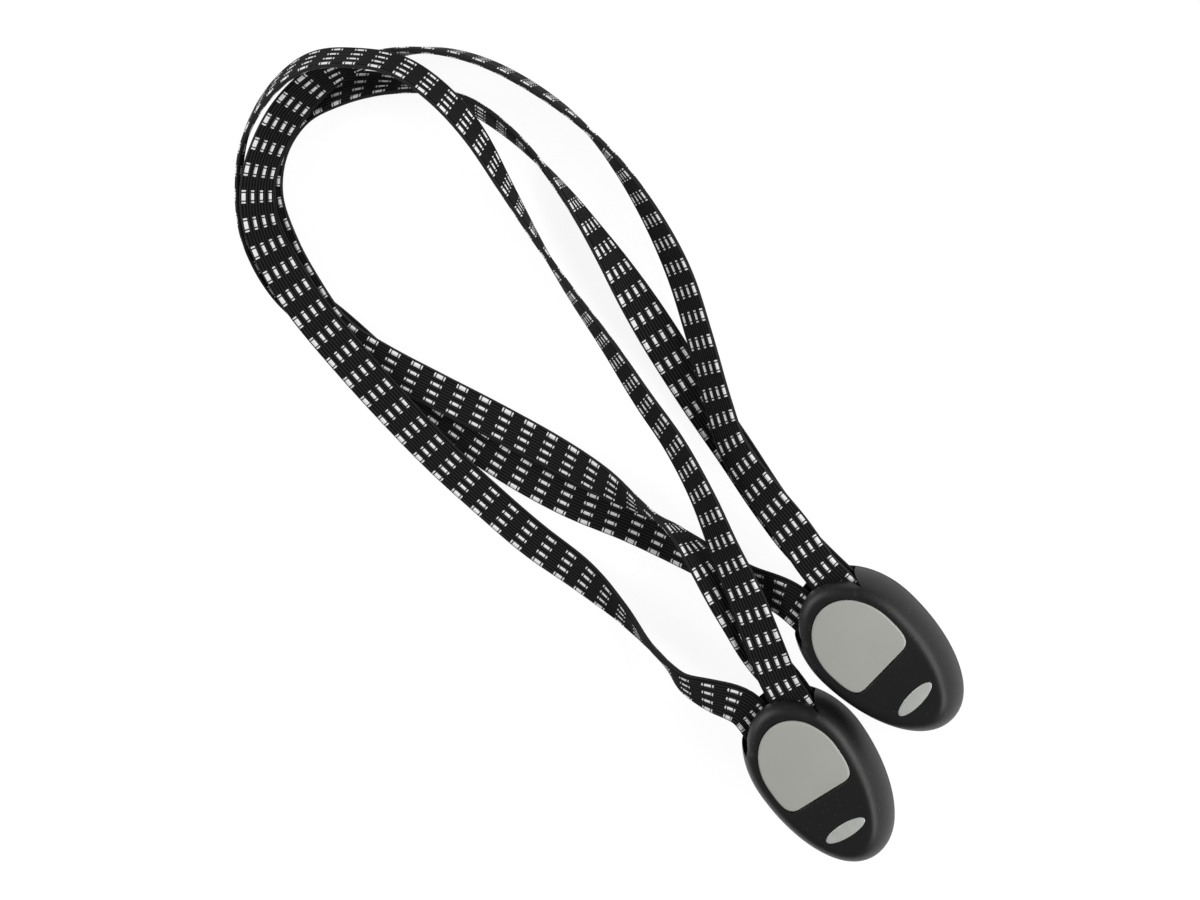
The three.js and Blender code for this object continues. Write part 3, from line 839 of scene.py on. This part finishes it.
MIDDLE_LAY: tuple[Station, ...] = (
    (66, -30, 27, -3), (86, -29, 21.5, -12), (104, -30, 16.5, -24), (120, -36, 13, -32),
    (142, -46, 10.5, -34), (165, -55.5, 8, -36), (187, -61.5, 7.6, -46), (209, -65, 8.4, -60),
    (229, -65, 8.6, -74), (249, -61, 8.5, -82), (270, -53, 8.5, -84), (285, -43, 8.5, -84),
    (295, -32, 8.8, -80), (302.6, -18, 10.6, -68), (308.2, -4, 14.8, -45), (308.2, 15, 15.6, -35),
    (303.6, 31.4, 15.8, -40), (295.8, 45, 16.6, -45), (283, 54.5, 18.5, -40), (266, 59, 20, -24),
    (248, 61.5, 20, -16), (225, 63, 17.5, -12), (199, 64.5, 12.5, -6), (173, 65, 7.5, 0), (148, 63, 4.5, 3),
    (125, 60, 2.6, 4), (103, 54, 4, 16), (83, 50, 8, 44), (68, 48, 13, 64), (58, 46, 18, 68),
    (47, 44, 23, 44), (38, 37.6, 26.6, 18),
)
INNER_LAY: tuple[Station, ...] = (
    (62, -27, 21.5, 2), (81, -26, 14, 4), (102, -27, 8.5, 8), (125, -28.5, 5, 14), (148, -32, 5.2, 22),
    (169, -36, 7, 46), (192, -40, 8.2, 74), (218, -42.5, 8.2, 98), (244, -41.5, 7.8, 116),
    (265, -36, 7.6, 120), (280, -27, 8.2, 96), (293, -14.5, 8.2, 64), (302.4, 0, 6, 36),
    (307.4, 16.5, 4.8, 25), (303.5, 34, 4.8, 26), (291.6, 48.4, 6, 25), (274, 55.6, 9.6, 19),
    (257, 59.2, 12.4, 12), (234, 62, 11.6, 9), (215, 57, 9.6, 8), (194, 49, 7.8, 6), (169, 38.5, 7, 6),
    (144, 28, 8, 12), (124, 20, 10.5, 28), (109, 14.5, 13.5, 56), (94, 8.5, 17.4, 84), (77, 6.8, 22.4, 118),
    (56, 8.4, 25.8, 162), (38, 12, 25.7, 180),
)


@dataclass(frozen=True)
class HookShape:
    """The hook under an end, in millimetres, with heights from the parting line."""

    heel: float = -34.0
    throat: float = -26.0
    root: float = -23.0
    tip: float = -2.0
    floor: float = -HOOK_DROP
    arm_top: float = -19.0
    barb: float = 2.0
    sunk: float = 3.0
    half_width: float = 7.0
    edge: float = 1.0
    edge_steps: int = 4
    corner_steps: int = 9
    doubled: float = 0.01

    def corners(self, ceiling: float) -> list[tuple[Pair, float]]:
        """The side outline's corners under a ceiling, each with the length that its rounding takes."""
        barb_top = self.arm_top + self.barb
        return [
            ((self.heel, ceiling + self.sunk), 0.0),
            ((self.heel, self.floor), 6.0),
            ((self.tip, self.floor), 3.0),
            ((self.tip - 0.2, barb_top), 1.1),
            ((self.tip - 3.4, barb_top), 1.2),
            ((self.tip - 6.0, self.arm_top), 1.6),
            ((self.throat, self.arm_top), 3.0),
            ((self.throat, ceiling), 3.0),
            ((self.root, ceiling), 0.0),
            ((self.root, ceiling + self.sunk), 0.0),
        ]

    def outline(self, ceiling: float) -> list[Pair]:
        """The side outline round shank, arm and barb, under a ceiling, with no two points at one place."""
        corners = self.corners(ceiling)
        outline: list[Pair] = []
        for i, (place, radius) in enumerate(corners):
            if radius == 0:
                outline.append(place)
                continue
            here, before, after = (Vector(corners[(i + k) % len(corners)][0]) for k in (0, -1, 1))
            start, stop = (here + (other - here).normalized() * radius for other in (before, after))
            for t in np.linspace(0, 1, self.corner_steps):
                outline.append(tuple((1 - t) ** 2 * start + 2 * t * (1 - t) * here + t * t * stop))
        return [place for i, place in enumerate(outline) if math.dist(place, outline[i - 1]) > self.doubled]


@dataclass
class HookEnd:
    """One moulded end: cover, base with its hook, grip pad and oval inlay, in millimetres of its own."""

    end: End
    hook_shape: HookShape = HookShape()
    mouth_reach: float = 30.0
    tip_reach: float = 44.0
    half_width: float = 23.5
    height: float = 15.0
    shoulder: float = 7.2
    lip_setback: float = 3.5
    lip_round: float = 5.0
    lip_steps: int = 21
    drop_share: float = 0.6
    mouth_half: float = 16.9
    mouth_top: float = 9.15
    corner_ease: float = 0.16
    roof_reach: float = 9.0
    roof_arch: float = 0.5
    flank_steps: int = 10
    wall: float = 2.0
    parting: float = 0.15
    base_depth: float = 6.0
    base_steps: int = 12
    screw_x: float = -12.0
    screw_side: float = 13.0
    sink_radius: float = 3.1
    sink_depth: float = 2.3
    sink_points: int = 40
    cutter_spare: float = 2.0
    pad_straight: float = -12.3
    pad_apex: float = 19.3
    pad_half: float = 15.9
    pad_straight_half: float = 10.0
    pad_side_share: float = 0.75
    pad_corner: float = 1.0
    pad_seat: float = 1.3
    pad_lift: float = 0.3
    pad_foot: float = 0.985
    pad_chamfer: float = 0.3
    pad_proud: float = 0.5
    pad_edge: float = 0.75
    pad_edge_steps: int = 6
    pad_draw: float = 0.05
    pad_crown: float = 0.5
    pad_shares: tuple[float, ...] = (0.9, 0.8, 0.65, 0.5, 0.3, 0.1)
    pad_points: int = 240
    gap: float = 0.35
    seat_floor: float = 0.9
    seat_edge: float = 0.3
    seat_rim: tuple[Pair, ...] = ((0.02, 0.2), (0.06, 0.06), (0.12, 0.015), (0.35, 0.0), (0.65, 0.0))
    seat_points: int = 720
    oval_x: float = -28.1
    oval_half_length: float = 8.8
    oval_half_width: float = 2.7
    oval_levels: tuple[Pair, ...] = (
        (1.0, -0.5), (1.0, 0.08), (0.985, 0.2), (0.93, 0.32), (0.8, 0.42), (0.55, 0.5), (0.25, 0.54),
    )
    oval_points: int = 72
    spokes: int = 288

    def egg(self, angle: float, inset: float) -> Pair:
        """A point of the end's outline, drawn in by an inset."""
        reach = self.mouth_reach if cos(angle) > 0 else self.tip_reach
        return (reach - inset) * cos(angle), (self.half_width - inset) * sin(angle)

    def dome(self, inset: float) -> float:
        """The cover's height over an inset from the outline."""
        share = min(1.0, max(0.0, 1 - inset / self.shoulder))
        return self.parting + (self.height - self.parting) * math.sqrt(1 - share * share)

    def pad_outline(self, count: int, margin: float) -> np.ndarray:
        """The grip pad's outline.

        Args:
            count: How many points it has, by even turns from the middle of the end.
            margin: How far it is drawn out.

        Returns:
            The points, starting at the mouth and turning towards the far side.
        """
        side, straight = self.pad_half + margin, self.pad_straight - margin
        flat = self.pad_straight_half + margin
        apex, corner = self.pad_apex + margin, (straight, side - self.pad_corner)
        arc_steps, corner_steps, straight_steps = 60, 40, 16
        arc = [(apex * cos(t), side * sin(t)) for t in np.linspace(0, pi / 2, arc_steps)]
        ends = np.array([(0, side), (straight * self.pad_side_share, side), corner, (straight, flat)])
        for t in np.linspace(0, 1, corner_steps)[1:]:
            weights = np.array([(1 - t) ** 3, 3 * t * (1 - t) ** 2, 3 * t * t * (1 - t), t**3])
            arc.append(tuple(weights @ ends))
        arc += [(straight, y) for y in np.linspace(flat, 0, straight_steps)[1:]]
        upper = np.array(arc)
        turns = np.arctan2(upper[:, 1], upper[:, 0])
        asked = even_turns(count)
        folded = np.where(asked > pi, 2 * pi - asked, asked)
        radius = np.interp(folded, turns, np.hypot(upper[:, 0], upper[:, 1]))
        return np.column_stack([radius * np.cos(asked), radius * np.sin(asked)])

    @staticmethod
    def outline_point(outline: np.ndarray, turn: float) -> Pair:
        """The point of an even-turn outline in a direction from the middle."""
        step = 2 * pi / len(outline)
        place = (turn % (2 * pi)) / step
        low = int(place) % len(outline)
        mixed = outline[low] + (place - int(place)) * (outline[(low + 1) % len(outline)] - outline[low])
        return float(mixed[0]), float(mixed[1])

    def lip_levels(self, openness: float) -> list[Pair]:
        """Insets and heights down the lip over the mouth.

        Args:
            openness: 1 in the middle of the lip, and 0 at its corners, where it meets the shoulder.

        Returns:
            The levels from the flat top to the lip's lower edge.
        """
        levels = []
        rise = self.height - self.mouth_top
        drop = self.mouth_top - self.dome(self.lip_setback)
        for share, (inset, z) in zip(np.linspace(0, 1, self.lip_steps), self.flank_levels()):
            turn = pi / 2 * (1 - share)
            round_inset = self.lip_setback + self.lip_round * (1 - cos(turn))
            round_over = (round_inset, self.mouth_top + rise * sin(turn))
            fall = max(0.0, (share - self.drop_share) / (1 - self.drop_share))
            steep = (inset, z + drop * fall)
            levels.append(tuple(openness * a + (1 - openness) * b for a, b in zip(round_over, steep)))
        return levels

    def flank_levels(self) -> list[Pair]:
        """Insets and heights down the shoulder, from the flat top to the lip's own inset."""
        shares = np.minimum(1.0, np.linspace(0, 1, self.lip_steps) / self.drop_share)
        insets = [self.lip_setback + self.lip_round * (1 - sin(share * pi / 2)) for share in shares]
        return [(inset, self.dome(inset)) for inset in insets]

    def cover(self, plastic: Material) -> Object:
        """Builds the domed cover with its rounded lip, its mouth and the seat of the pad."""
        corner = math.asin(self.mouth_half / (self.half_width - self.lip_setback))
        mouth_count = self.spokes // 3
        open_turns = [(turn, True) for turn in np.linspace(-corner, corner, mouth_count)]
        rest = np.linspace(corner, 2 * pi - corner, self.spokes - mouth_count)
        turns = open_turns + [(turn, False) for turn in rest]
        outline = self.pad_outline(self.seat_points, self.gap)
        columns = [self.cover_spoke(turn, is_mouth, corner, outline) for turn, is_mouth in turns]
        rings, around = len(columns[0]), len(columns)
        points = [column[ring] for ring in range(rings) for column in columns]
        seams = (mouth_count - 1, around - 1)
        quads = ring_faces(rings, around, looped=True)
        faces = [face[::-1] for number, face in enumerate(quads) if number % around not in seams]
        under = range(rings - self.flank_steps - 1, rings)
        lip = under[0] - 1
        split = lip - round((1 - self.drop_share) * (self.lip_steps - 1))
        # At each mouth corner, a cheek closes the lip's side and a roof the end of the mouth's ceiling.
        for mouth, flank, turned in ((seams[0], mouth_count, True), (0, seams[1], False)):
            cheek = [ring * around + flank for ring in range(split, rings)]
            cheek += [ring * around + mouth for ring in range(lip, split, -1)]
            roof = [lip * around + mouth, (rings - 1) * around + flank, flank]
            roof += [ring * around + mouth for ring in reversed(under)]
            faces += [face[::-1] if turned else face for face in (cheek, roof)]
        made = self.placed(f"{self.end.value}_domed_cover", points, faces, plastic)
        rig.replaces(made, f"{self.end.value}_top_cover")
        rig.slot(made, "black_plastic")
        return made

    def cover_spoke(self, turn: float, is_mouth: bool, corner: float, outline: np.ndarray) -> list[Point]:
        """One spoke of the cover.

        Args:
            turn: The spoke's angle round the outline.
            is_mouth: Whether it ends at the lip over the mouth.
            corner: The angle of the mouth's corners.
            outline: The pad seat's outline.

        Returns:
            The spoke's points, from the pad's seat outwards and down, and in under the mouth or the wall.
        """
        off = min(1.0, max(0.0, (corner - abs(turn)) / self.corner_ease))
        levels = self.lip_levels(off * off * (3 - 2 * off)) if is_mouth else self.flank_levels()
        flat_x, flat_y = self.egg(turn, levels[0][0])
        seat_x, seat_y = self.outline_point(outline, math.atan2(flat_y, flat_x))
        floor = self.height - self.pad_seat
        points: list[Point] = [(seat_x * share, seat_y * share, floor) for share in (self.seat_floor, 1.0)]
        points.append((seat_x, seat_y, self.height - self.seat_edge))
        for share, sink in self.seat_rim:
            mixed = [a + (b - a) * share for a, b in ((seat_x, flat_x), (seat_y, flat_y))]
            points.append((*mixed, self.height - sink))
        points += [(*self.egg(turn, inset), z) for inset, z in levels]
        last = levels[-1][0]
        if is_mouth:
            for share in np.linspace(0, 1, self.flank_steps + 1)[1:]:
                arch = self.roof_arch * sin(share * pi)
                points.append((*self.egg(turn, last + self.roof_reach * share), self.mouth_top + arch))
            return [*points, points[-1]]
        slope = math.acos(1 - last / self.shoulder)
        for share in np.linspace(0, 1, self.flank_steps)[1:]:
            inset = self.shoulder * (1 - cos(slope * (1 - share)))
            points.append((*self.flank_point(turn, inset, corner), self.dome(inset)))
        inside = self.flank_point(turn, self.wall, corner)
        return [*points, (*inside, self.parting), (*inside, self.mouth_top)]

    def flank_point(self, turn: float, inset: float, corner: float) -> Pair:
        """A point of the flank below the lip, where the mouth's corner runs straight out.

        Args:
            turn: The spoke's angle.
            inset: The inset from the outline.
            corner: The angle of the mouth's corners.

        Returns:
            The plan point.
        """
        straight = math.asin(min(1.0, self.mouth_half / (self.half_width - inset)))
        mirrored = turn if turn <= pi else 2 * pi - turn
        share = (mirrored - corner) / (pi - corner)
        fitted = straight + (pi - straight) * share
        return self.egg(fitted if turn <= pi else 2 * pi - fitted, inset)

    def base(self, plastic: Material) -> Object:
        """Builds the rounded base with its screw sinks, and the hook under it."""
        levels = [(0.0, -self.parting)]
        for turn in np.linspace(0, pi / 2, self.base_steps + 1)[1:]:
            levels.append((self.base_depth * (1 - cos(turn)), -self.base_depth * sin(turn)))
        points = [(*self.egg(turn, inset), z) for inset, z in levels for turn in even_turns(self.spokes)]
        faces = [face[::-1] for face in capped_rings(len(levels), self.spokes)]
        shell = self.placed(f"{self.end.value}_base_shell", points, faces, plastic)
        for side in (-self.screw_side, self.screw_side):
            self.sink(shell, self.screw_x, side)
        joined = join(f"{self.end.value}_hook_moulding", [shell, self.hook(plastic)], plastic)
        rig.replaces(joined, f"{self.end.value}_hook_base")
        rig.slot(joined, "black_plastic")
        return joined

    def sink(self, shell: Object, x: float, y: float) -> None:
        """Cuts a round sink for a screw head into the base."""
        radius, turns = self.sink_radius, even_turns(self.sink_points)
        ring = [(x + radius * cos(turn), y + radius * sin(turn)) for turn in turns]
        levels = (-self.base_depth - self.cutter_spare, -self.base_depth + self.sink_depth)
        points = [(*place, z) for z in levels for place in ring]
        cutter = self.placed("sink_cutter", points, capped_rings(2, len(ring)), shell.data.materials[0])
        cut = shell.modifiers.new("sink", "BOOLEAN")
        cut.operation, cut.solver, cut.object = "DIFFERENCE", "EXACT", cutter
        bpy.context.view_layer.update()
        graph = bpy.context.evaluated_depsgraph_get()
        mesh = bpy.data.meshes.new_from_object(shell.evaluated_get(graph))
        shell.modifiers.clear()
        shell.data = mesh
        bpy.data.objects.remove(cutter)

    def hook(self, plastic: Material) -> Object:
        """Builds the hook, with rounded edges along both sides."""
        shape = self.hook_shape
        outline = shape.outline(-self.base_depth)
        sides = (-shape.half_width, shape.half_width)
        work = bmesh.new()
        verts = [work.verts.new((x, y, z)) for y in sides for x, z in outline]
        made = [work.faces.new([verts[i] for i in face]) for face in capped_rings(2, len(outline))]
        bmesh.ops.recalc_face_normals(work, faces=work.faces)
        edges = [edge for rim in made[-2:] for edge in rim.edges]
        rounding = {"offset": shape.edge, "segments": shape.edge_steps, "profile": 0.5, "affect": "EDGES"}
        bmesh.ops.bevel(work, geom=edges, **rounding)
        work.verts.index_update()
        points = [tuple(vert.co) for vert in work.verts]
        faces = [[vert.index for vert in face.verts] for face in work.faces]
        work.free()
        return self.placed(f"{self.end.value}_hook", points, faces, plastic)

    def pad(self, grey: Material) -> Object:
        """Builds the grip pad, gently crowned, with a rounded edge."""
        outline = self.pad_outline(self.pad_points, 0.0)
        top = self.height + self.pad_proud
        foot, edge = self.height - self.pad_seat + self.pad_lift, top - self.pad_edge
        levels = [(self.pad_foot, foot), (1.0, foot + self.pad_chamfer), (1.0, edge)]
        for turn in np.linspace(0, pi / 2, self.pad_edge_steps + 1)[1:]:
            levels.append((1 - self.pad_draw * (1 - cos(turn)), edge + self.pad_edge * sin(turn)))
        rim = 1 - self.pad_draw
        levels += [(share, top + self.pad_crown * (rim**2 - share**2)) for share in self.pad_shares]
        points = [(x * share, y * share, z) for share, z in levels for x, y in outline]
        faces = capped_rings(len(levels), len(outline))
        made = self.placed(f"{self.end.value}_crowned_pad", points, faces, grey)
        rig.replaces(made, f"{self.end.value}_grip_pad")
        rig.slot(made, "pad_grey")
        return made

    def oval(self, gloss: Material) -> Object:
        """Builds the domed oval inlay."""
        points: list[Point] = []
        for share, rise in self.oval_levels:
            for angle in even_turns(self.oval_points):
                x = self.oval_x + share * self.oval_half_width * cos(angle)
                points.append((x, share * self.oval_half_length * sin(angle), self.height + rise))
        faces = capped_rings(len(self.oval_levels), self.oval_points)
        made = self.placed(f"{self.end.value}_domed_oval", points, faces, gloss)
        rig.replaces(made, f"{self.end.value}_oval_inlay")
        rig.slot(made, "oval_grey")
        return made

    def placed(self, name: str, points: Sequence[Point], faces: Faces, finish: Material) -> Object:
        """Makes a mesh object from points in the end's own millimetres."""
        matrix = self.end.place.matrix()
        placed = [matrix @ Vector(point) for point in points]
        return mesh_object(name, placed, faces, finish, weld=WELD_METRES)

    def build(self, finishes: dict[str, Material], nodes: dict[str, Any]) -> None:
        """Builds the end's pieces and dresses the nodes that stay.

        Args:
            finishes: The materials by slot.
            nodes: The frame's nodes by name.
        """
        plastic = finishes["black_plastic"]
        mouldings = [self.cover(plastic), self.base(plastic)]
        inlays = [self.pad(finishes["pad_grey"]), self.oval(finishes["oval_grey"])]
        for piece in mouldings + inlays:
            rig.ride(piece, self.end.body)
            log.info("%s: %d faces", piece.name, len(piece.data.polygons))
        for name, node in nodes.items():
            if name.startswith(self.end.value) and ("screw" in name or "crimp" in name):
                node.data.materials.clear()
                node.data.materials.append(finishes["steel"])
                log.info("%s: dressed", name)


@dataclass
class Studio:
    """The floor, the lights and the camera."""

    elevation: float = 70.0
    distance: float = 1500.0
    focal_pixels: float = 3975.0
    look: Point = (134.8, 13.0, 10.0)
    roll: Pair = (0.652, 0.758)
    image_width: float = 1200.0
    sensor: float = 36.0
    clip: Pair = (0.05, 50.0)
    floor_reach: float = 4.0
    floor_level: float = -0.0002
    floor_seen: float = 0.8
    floor_glow: float = 1.12
    sky_strength: float = 0.24

    def camera(self) -> None:
        """Sets the camera at the photograph's viewing angle."""
        tilt = radians(self.elevation)
        right, up = Vector((1, 0, 0)), Vector((0, sin(tilt), cos(tilt)))
        forward = Vector((0, cos(tilt), -sin(tilt)))
        a, b = self.roll
        norm = math.hypot(a, b)
        x_axis = (-a * right - b * up) / norm
        y_axis = (b * right - a * up) / norm
        place = (Vector(self.look) - self.distance * forward) * MM
        matrix = Matrix((x_axis, y_axis, -forward)).transposed().to_4x4()
        lens = bpy.data.cameras.new("camera")
        lens.sensor_fit, lens.sensor_width = "HORIZONTAL", self.sensor
        lens.lens = self.sensor * self.focal_pixels / self.image_width
        lens.clip_start, lens.clip_end = self.clip
        made = bpy.data.objects.new("camera", lens)
        made.matrix_world = Matrix.Translation(place) @ matrix
        bpy.context.scene.collection.objects.link(made)
        bpy.context.scene.camera = made

    def floor(self) -> None:
        """Lays the pale floor, which stays white to the camera but keeps soft shadows."""
        tree = ShaderTree("pale_floor")
        tree.set(Base_Color=(0.9, 0.9, 0.9, 1.0), Roughness=0.9, Specular_IOR_Level=0.1)
        path = tree.node("ShaderNodeLightPath")
        rays = ("Is Camera Ray", "Is Glossy Ray", "Is Transmission Ray")
        camera, glossy, transmitted = (Value(tree, path.outputs[ray]) for ray in rays)
        seen = (camera + glossy + transmitted).clamp() * self.floor_seen
        glow = tree.node("ShaderNodeEmission", inputs={"Color": (1, 1, 1, 1), "Strength": self.floor_glow})
        inputs = {0: seen, 1: tree.shader.outputs[0], 2: glow.outputs[0]}
        mixed = tree.node("ShaderNodeMixShader", inputs=inputs)
        tree.feed(tree.output.inputs["Surface"], mixed.outputs[0])
        reach = self.floor_reach
        plan = ((-reach, -reach), (reach, -reach), (reach, reach), (-reach, reach))
        points = [(x, y, self.floor_level) for x, y in plan]
        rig.stage(mesh_object("floor", points, [[0, 1, 2, 3]], tree.material))

    def world(self) -> None:
        """Lights the whole scene with a plain pale sky."""
        sky = bpy.data.worlds.new("sky")
        sky.use_nodes = True
        background = sky.node_tree.nodes["Background"].inputs
        background["Color"].default_value = (1, 1, 1, 1)
        background["Strength"].default_value = self.sky_strength
        bpy.context.scene.world = sky

    def lamp(self, name: str, place: Point, size: float, power: float) -> None:
        """Adds a square soft light that faces the middle of the object."""
        light = bpy.data.lights.new(name, "AREA")
        light.size, light.energy = size, power
        made = bpy.data.objects.new(name, light)
        made.location = place
        aim = Vector(self.look) * MM - Vector(place)
        made.rotation_euler = aim.to_track_quat("-Z", "Y").to_euler()
        bpy.context.scene.collection.objects.link(made)

    def build(self) -> None:
        """Builds the camera, the floor and the lights."""
        self.camera()
        self.floor()
        self.world()
        self.lamp("key_soft", (-0.3, -1.3, 0.85), size=1.0, power=18.0)
        self.lamp("side_soft", (-1.1, -0.6, 0.7), size=0.7, power=10.0)
        self.lamp("lip_soft", (1.1, 0.5, 0.65), size=0.8, power=10.0)
        bpy.context.scene.view_settings.view_transform = "Standard"
        log.info("studio: camera, floor and lights")


def write_sizes(cad: tuple[Vector, Vector]) -> None:
    boxes = {"cad": cad, "visual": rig.bounds()}
    plain = {name: [list(corner) for corner in box] for name, box in boxes.items()}
    with open(SIZE_FILE, "w", encoding="utf-8") as file:
        json.dump(plain, file)


def main() -> None:
    """Builds the studio, the straps and the two ends."""
    logging.basicConfig(level=logging.INFO, format="%(name)s: %(message)s")
    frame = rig.load()
    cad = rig.bounds()
    Studio().build()
    cloth = ElasticWebbing().make()
    front, rear = End.FRONT, End.REAR
    straps = (
        Strap("outer_strap", (front, Slot.UPPER, 0), OUTER_LAY, (rear, Slot.SINGLE, 0), WideEdge.OUTSIDE),
        Strap("middle_strap", (rear, Slot.UPPER, 0), MIDDLE_LAY, (front, Slot.SINGLE, 0), WideEdge.OUTSIDE),
        Strap("inner_strap", (rear, Slot.LOWER, 0), INNER_LAY, (front, Slot.LOWER, 180), WideEdge.INSIDE),
    )
    for strap in straps:
        strap.build(cloth)
    finishes = {
        "black_plastic": MouldedPlastic().make(),
        "pad_grey": PadPlastic().make(),
        "oval_grey": OvalGloss().make(),
        "steel": PlainZinc().make(),
    }
    nodes = {name: bpy.data.objects[name] for name in frame["nodes"]}
    for end in End:
        HookEnd(end).build(finishes, nodes)
    write_sizes(cad)


if __name__ == "__main__":
    main()
